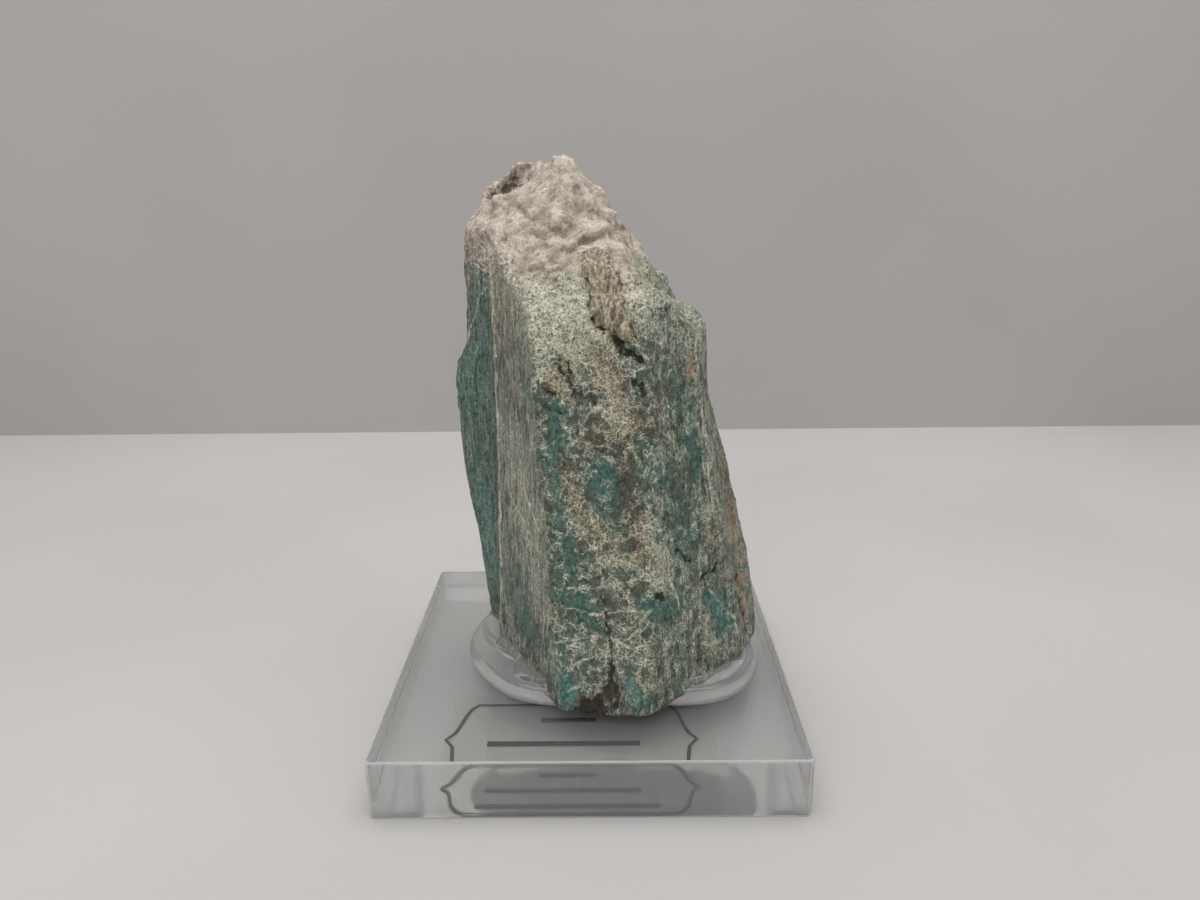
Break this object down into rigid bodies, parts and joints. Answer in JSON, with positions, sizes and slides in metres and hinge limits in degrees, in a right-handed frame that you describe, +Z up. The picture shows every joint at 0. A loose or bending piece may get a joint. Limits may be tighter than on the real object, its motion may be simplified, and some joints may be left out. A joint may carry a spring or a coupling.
{
  "type": "rough amazonite mineral specimen",
  "caption": "Rough blue-green amazonite feldspar prism with a pale crusted top, held by a clear adhesive pad on a square clear base with a small label stuck beneath.",
  "frame": {"origin": "centre of the square base, on the surface that it stands on", "axes": "+Z up through the crystal; -Y towards the viewer of its broad front face; +X to that viewer's right"},
  "size_m": [0.0508, 0.0508, 0.0726],
  "materials": {
    "amazonite": "rough, satin on the prism faces",
    "adhesive": "clear, glossy",
    "clear_acrylic": "clear, polished faces with sawn edges",
    "label_film": "clear film with a black printed border"
  },
  "bodies": {
    "root": {"amazonite": "amazonite", "adhesive_pad": "adhesive", "display_base": "clear_acrylic", "label": "label_film"}
  },
  "joints": []
}
